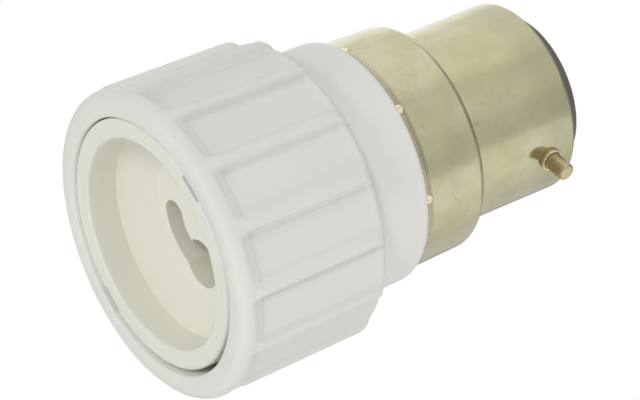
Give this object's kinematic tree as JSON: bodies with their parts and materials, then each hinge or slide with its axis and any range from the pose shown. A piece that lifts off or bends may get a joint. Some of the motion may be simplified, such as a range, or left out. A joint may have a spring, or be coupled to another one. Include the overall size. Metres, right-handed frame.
{
  "type": "lamp socket adapter",
  "caption": "Lamp socket adapter with a ribbed white mouth ring, a tapered collar, twist-lock keyholes in a recess and a brass bayonet cap.",
  "frame": {"origin": "centre of the mouth plane, the front face of the grip ring, on the axis", "axes": "+Z along the axis from the mouth to the bayonet cap's contacts, X along the bayonet pins, Y towards the end contact next to the first keyhole"},
  "size_m": [0.036, 0.0358, 0.0529],
  "materials": {
    "white_shell": "satin moulded white plastic",
    "socket_white": "satin off-white heat-resistant plastic",
    "cap_brass": "pale drawn brass, satin",
    "pin_brass": "bright brass",
    "dark_insulator": "dark grey, slightly glossy",
    "clip_brass": "plain brass strip",
    "spring_steel": "plain spring steel",
    "screw_steel": "zinc-plated steel",
    "lead_cover": "white silicone insulation",
    "contact_brass": "brass",
    "solder": "smooth solder"
  },
  "bodies": {
    "root": {"grip_ring": "white_shell", "body_collar": "white_shell", "socket_front": "socket_white", "socket_back": "socket_white", "cap_shell": "cap_brass", "bayonet_pin_a": "pin_brass", "bayonet_pin_b": "pin_brass", "end_insulator": "dark_insulator", "contact_clip_a": "clip_brass", "contact_clip_b": "clip_brass", "pin_spring_a": "spring_steel", "pin_spring_b": "spring_steel", "socket_screw_a": "screw_steel", "socket_screw_b": "screw_steel", "lead_wire_a": "lead_cover", "lead_wire_b": "lead_cover", "end_contact_a": "contact_brass", "end_contact_b": "contact_brass", "solder_dot_a": "solder", "solder_dot_b": "solder"}
  },
  "joints": []
}
